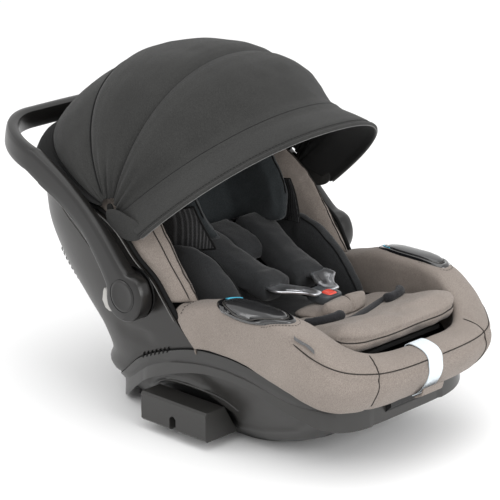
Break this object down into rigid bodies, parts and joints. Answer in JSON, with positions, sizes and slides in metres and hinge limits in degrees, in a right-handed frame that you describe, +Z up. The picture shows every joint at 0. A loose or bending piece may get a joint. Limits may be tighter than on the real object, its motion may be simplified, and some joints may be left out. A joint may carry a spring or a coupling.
{
  "type": "infant car seat",
  "caption": "Rear-facing infant car seat carrier with a folding carrying handle, a fan canopy, a padded reclining inner seat and a harness buckle.",
  "frame": {"origin": "on the floor under the middle of the whole object's box, handle locked back, canopy open", "axes": "+Z up, +Y towards the head end, -Y towards the feet, X across, all mirror pairs either side of X = 0"},
  "size_m": [0.4348, 0.6836, 0.4978],
  "materials": {
    "base_plastic": "moulded, fine grain, satin",
    "shell_plastic": "moulded, satin",
    "black_plastic": "moulded, plain",
    "handle_plastic": "moulded, satin",
    "gloss_black": "polished",
    "smoked_lid": "smoked, polished",
    "button_grey": "satin",
    "button_red": "satin",
    "buckle_grey": "satin",
    "tongue_grey": "satin, light grey moulding over steel",
    "steel": "zinc plated",
    "charcoal_fabric": "woven polyester",
    "taupe_fabric": "melange weave over foam",
    "dark_fabric": "soft knit over foam",
    "mesh_fabric": "ribbed mesh",
    "webbing": "narrow woven webbing",
    "guide_blue": "satin",
    "band_white": "smooth woven band",
    "tag_grey": "folded woven tag, bare",
    "foam": "cut foam"
  },
  "bodies": {
    "shell": {"base_shell": "base_plastic", "base_screws": "steel", "docking_bars": "steel", "adapter_left": "base_plastic", "adapter_right": "base_plastic", "seat_tub": "black_plastic", "seat_shell": "shell_plastic", "detent_rings": "black_plastic", "pivot_pins": "steel", "recline_ribs": "black_plastic", "back_foam": "foam", "front_core": "foam", "front_cover": "taupe_fabric", "wing_left": "taupe_fabric", "wing_right": "taupe_fabric", "belt_guide_left": "gloss_black", "belt_guide_right": "gloss_black", "guide_lid_left": "smoked_lid", "guide_lid_right": "smoked_lid", "belt_marks": "guide_blue", "front_band": "band_white", "side_tag": "tag_grey", "canopy_back_panel": "charcoal_fabric", "canopy_rib_a": "black_plastic", "canopy_pivots": "handle_plastic"},
    "inner_seat": {"seat_carriage": "black_plastic", "leg_cushion": "taupe_fabric", "insert_base": "dark_fabric", "insert_back": "dark_fabric", "insert_bolster_left": "dark_fabric", "insert_bolster_right": "dark_fabric", "insert_rolls": "dark_fabric", "mesh_panels": "mesh_fabric", "crotch_pad": "taupe_fabric", "crotch_strap": "webbing", "buckle_housing": "buckle_grey", "tongue_left": "tongue_grey", "tongue_right": "tongue_grey", "shoulder_pad_left": "dark_fabric", "shoulder_pad_right": "dark_fabric", "harness_straps": "webbing", "harness_adjuster": "black_plastic"},
    "headrest": {"headrest_shell": "black_plastic", "head_pad": "dark_fabric"},
    "buckle_button": {"buckle_button": "button_red"},
    "adjuster_button": {"adjuster_button": "button_grey"},
    "recline_handle": {"recline_handle": "gloss_black"},
    "handle": {"handle_frame": "handle_plastic", "handle_cap_left": "handle_plastic", "handle_cap_right": "handle_plastic"},
    "handle_button_left": {"handle_button_left": "button_grey"},
    "handle_button_right": {"handle_button_right": "button_grey"},
    "canopy_rib_b": {"canopy_rib_b": "black_plastic", "canopy_panel_1": "charcoal_fabric"},
    "canopy_rib_c": {"canopy_rib_c": "black_plastic", "canopy_panel_2": "charcoal_fabric"},
    "visor": {"canopy_visor": "charcoal_fabric", "canopy_panel_3": "charcoal_fabric"}
  },
  "joints": [
    {"name": "handle_hinge", "type": "hinge", "parent": "shell", "child": "handle", "pos_m": [0, 0.03083, 0.198], "axis": [1, 0, 0], "range_deg": [0, 110]},
    {"name": "handle_button_left_press", "type": "slide", "parent": "handle", "child": "handle_button_left", "axis": [0, -0.91, 0.4147], "range_m": [0, 0.0035], "stiffness_N_per_m": 1200, "springref_m": -0.003},
    {"name": "handle_button_right_press", "type": "slide", "parent": "handle", "child": "handle_button_right", "axis": [0, -0.91, 0.4147], "range_m": [0, 0.0035], "stiffness_N_per_m": 1200, "springref_m": -0.003},
    {"name": "canopy_fold_b", "type": "hinge", "parent": "shell", "child": "canopy_rib_b", "pos_m": [0, 0.08583, 0.304], "axis": [-1, 0, 0], "range_deg": [0, 19], "deforming": ["canopy_panel_1"]},
    {"name": "canopy_fold_c", "type": "hinge", "parent": "canopy_rib_b", "child": "canopy_rib_c", "pos_m": [0, 0.08583, 0.304], "axis": [-1, 0, 0], "range_deg": [0, 31], "deforming": ["canopy_panel_2"]},
    {"name": "canopy_fold_visor", "type": "hinge", "parent": "canopy_rib_c", "child": "visor", "pos_m": [0, 0.08583, 0.304], "axis": [-1, 0, 0], "range_deg": [0, 32.5], "deforming": ["canopy_panel_3"]},
    {"name": "recline", "type": "hinge", "parent": "shell", "child": "inner_seat", "pos_m": [0, -0.05317, 0.33], "axis": [-1, 0, 0], "range_deg": [0, 8]},
    {"name": "headrest_slide", "type": "slide", "parent": "inner_seat", "child": "headrest", "axis": [0, 0.3679, 0.9298], "range_m": [0, 0.05]},
    {"name": "buckle_button_press", "type": "slide", "parent": "inner_seat", "child": "buckle_button", "axis": [0, 0, -1], "range_m": [0, 0.003], "stiffness_N_per_m": 1500, "springref_m": -0.002},
    {"name": "adjuster_button_press", "type": "slide", "parent": "inner_seat", "child": "adjuster_button", "axis": [0, 0, -1], "range_m": [0, 0.003], "stiffness_N_per_m": 1000, "springref_m": -0.002},
    {"name": "recline_handle_pull", "type": "slide", "parent": "shell", "child": "recline_handle", "axis": [0, -1, 0], "range_m": [0, 0.01], "stiffness_N_per_m": 400, "springref_m": -0.004}
  ],
  "couplings": [
    {"joint": "canopy_fold_c", "follows": "canopy_fold_b", "ratio": 1.6211},
    {"joint": "canopy_fold_visor", "follows": "canopy_fold_b", "ratio": 1.6947}
  ]
}
